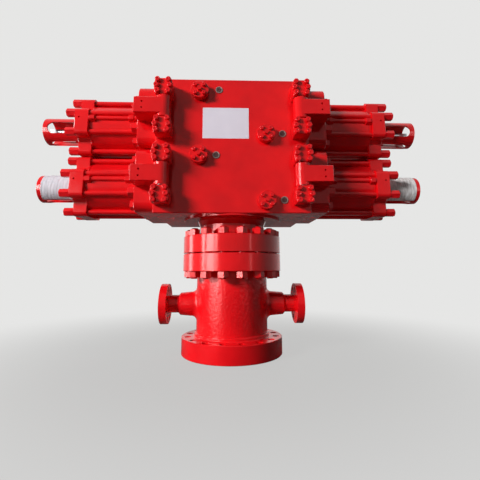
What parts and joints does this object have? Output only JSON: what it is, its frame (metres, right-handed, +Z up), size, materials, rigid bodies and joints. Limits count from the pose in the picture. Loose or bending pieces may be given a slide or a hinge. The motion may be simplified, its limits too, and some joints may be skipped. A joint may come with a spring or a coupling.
{
  "type": "double ram blowout preventer",
  "caption": "Red twin-level ram blowout preventer with hinged bonnets, tie-rod cylinders and open screw guards, bolted on a flanged spool with side outlets.",
  "frame": {"origin": "centre of the main bore in the plane of the spool's bottom raised face", "axes": "+Z up along the bore, +X along the rams, -Y towards the hinged front side with the covers and ports"},
  "size_m": [2.692, 0.796, 1.785],
  "materials": {
    "red_paint": "glossy enamel over machined steel",
    "cast_paint": "glossy enamel over forged steel, slightly uneven",
    "bare_steel": "ground steel with an oil film",
    "ram_steel": "phosphated dark steel",
    "plug_metal": "dull grey brown plug"
  },
  "bodies": {
    "frame": {"spool": "cast_paint", "body_block": "red_paint", "hinge_seats": "red_paint", "hinge_pins": "bare_steel", "front_covers": "red_paint", "port_plugs": "plug_metal"},
    "upper_left_door": {"upper_left_bonnet": "red_paint", "upper_left_hinge_arm": "red_paint", "upper_left_cylinder": "red_paint", "upper_left_tie_rods": "red_paint", "upper_left_oil_tube": "red_paint", "upper_left_cylinder_head": "red_paint", "upper_left_lock_guard": "red_paint", "upper_left_locking_screw": "bare_steel", "upper_left_ram": "ram_steel", "upper_left_ram_rod": "bare_steel"},
    "upper_right_door": {"upper_right_bonnet": "red_paint", "upper_right_hinge_arm": "red_paint", "upper_right_cylinder": "red_paint", "upper_right_tie_rods": "red_paint", "upper_right_oil_tube": "red_paint", "upper_right_cylinder_head": "red_paint", "upper_right_lock_guard": "red_paint", "upper_right_locking_screw": "bare_steel", "upper_right_ram": "ram_steel", "upper_right_ram_rod": "bare_steel"},
    "lower_left_door": {"lower_left_bonnet": "red_paint", "lower_left_hinge_arm": "red_paint", "lower_left_cylinder": "red_paint", "lower_left_tie_rods": "red_paint", "lower_left_oil_tube": "red_paint", "lower_left_cylinder_head": "red_paint", "lower_left_lock_guard": "red_paint", "lower_left_locking_screw": "bare_steel", "lower_left_ram": "ram_steel", "lower_left_ram_rod": "bare_steel"},
    "lower_right_door": {"lower_right_bonnet": "red_paint", "lower_right_hinge_arm": "red_paint", "lower_right_cylinder": "red_paint", "lower_right_tie_rods": "red_paint", "lower_right_oil_tube": "red_paint", "lower_right_cylinder_head": "red_paint", "lower_right_lock_guard": "red_paint", "lower_right_locking_screw": "bare_steel", "lower_right_ram": "ram_steel", "lower_right_ram_rod": "bare_steel"}
  },
  "joints": [
    {"name": "upper_left_bonnet_swing", "type": "hinge", "parent": "frame", "child": "upper_left_door", "pos_m": [-0.433, -0.394, 1.5505], "axis": [0, 0, 1], "range_deg": [0, 100]},
    {"name": "upper_right_bonnet_swing", "type": "hinge", "parent": "frame", "child": "upper_right_door", "pos_m": [0.433, -0.394, 1.5505], "axis": [0, 0, -1], "range_deg": [0, 100]},
    {"name": "lower_left_bonnet_swing", "type": "hinge", "parent": "frame", "child": "lower_left_door", "pos_m": [-0.433, -0.394, 1.1175], "axis": [0, 0, 1], "range_deg": [0, 100]},
    {"name": "lower_right_bonnet_swing", "type": "hinge", "parent": "frame", "child": "lower_right_door", "pos_m": [0.433, -0.394, 1.1175], "axis": [0, 0, -1], "range_deg": [0, 100]}
  ]
}
